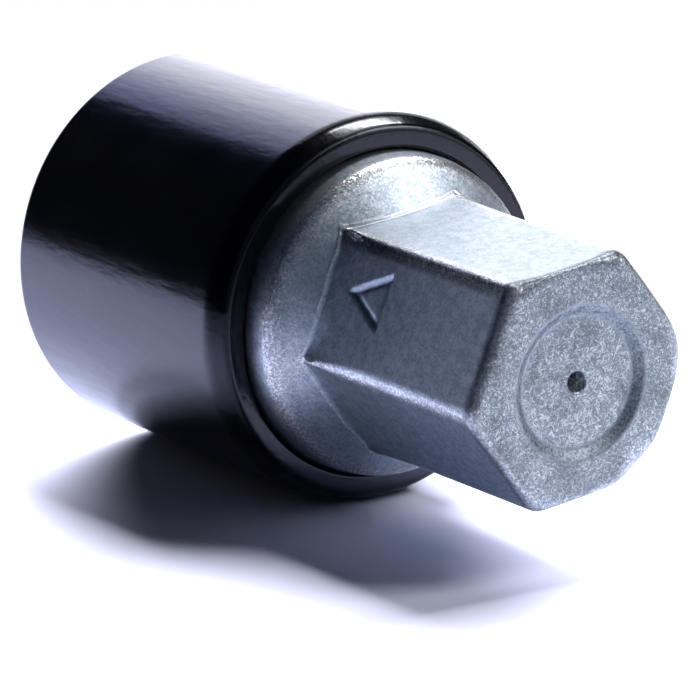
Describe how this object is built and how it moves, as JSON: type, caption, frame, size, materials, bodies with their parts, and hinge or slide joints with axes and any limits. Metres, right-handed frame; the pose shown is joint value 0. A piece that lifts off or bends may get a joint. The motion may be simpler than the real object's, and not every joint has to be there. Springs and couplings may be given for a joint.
{
  "type": "locking wheel nut key",
  "caption": "Key for a locking wheel nut: zinc-plated hexagon drive with a domed shoulder and a coded socket, turning freely inside a black guard sleeve.",
  "frame": {"origin": "centre of the open rim of the guard sleeve, on which the key stands", "axes": "+Z along the key's axis towards the hexagon's end, +X through a corner of the hexagon"},
  "size_m": [0.029, 0.029, 0.051],
  "materials": {
    "zinc_plate": "forged steel with mottled blue-grey zinc plate",
    "black_coat": "semi-gloss black coat over a turned surface",
    "spring_wire": "drawn spring wire"
  },
  "bodies": {
    "key": {"key_body": "zinc_plate", "retaining_ring": "spring_wire"},
    "sleeve": {"guard_sleeve": "black_coat"}
  },
  "joints": [
    {"name": "sleeve_spin", "type": "hinge", "parent": "key", "child": "sleeve", "pos_m": [0, 0, 0.018], "axis": [0, 0, 1], "continuous": true}
  ]
}
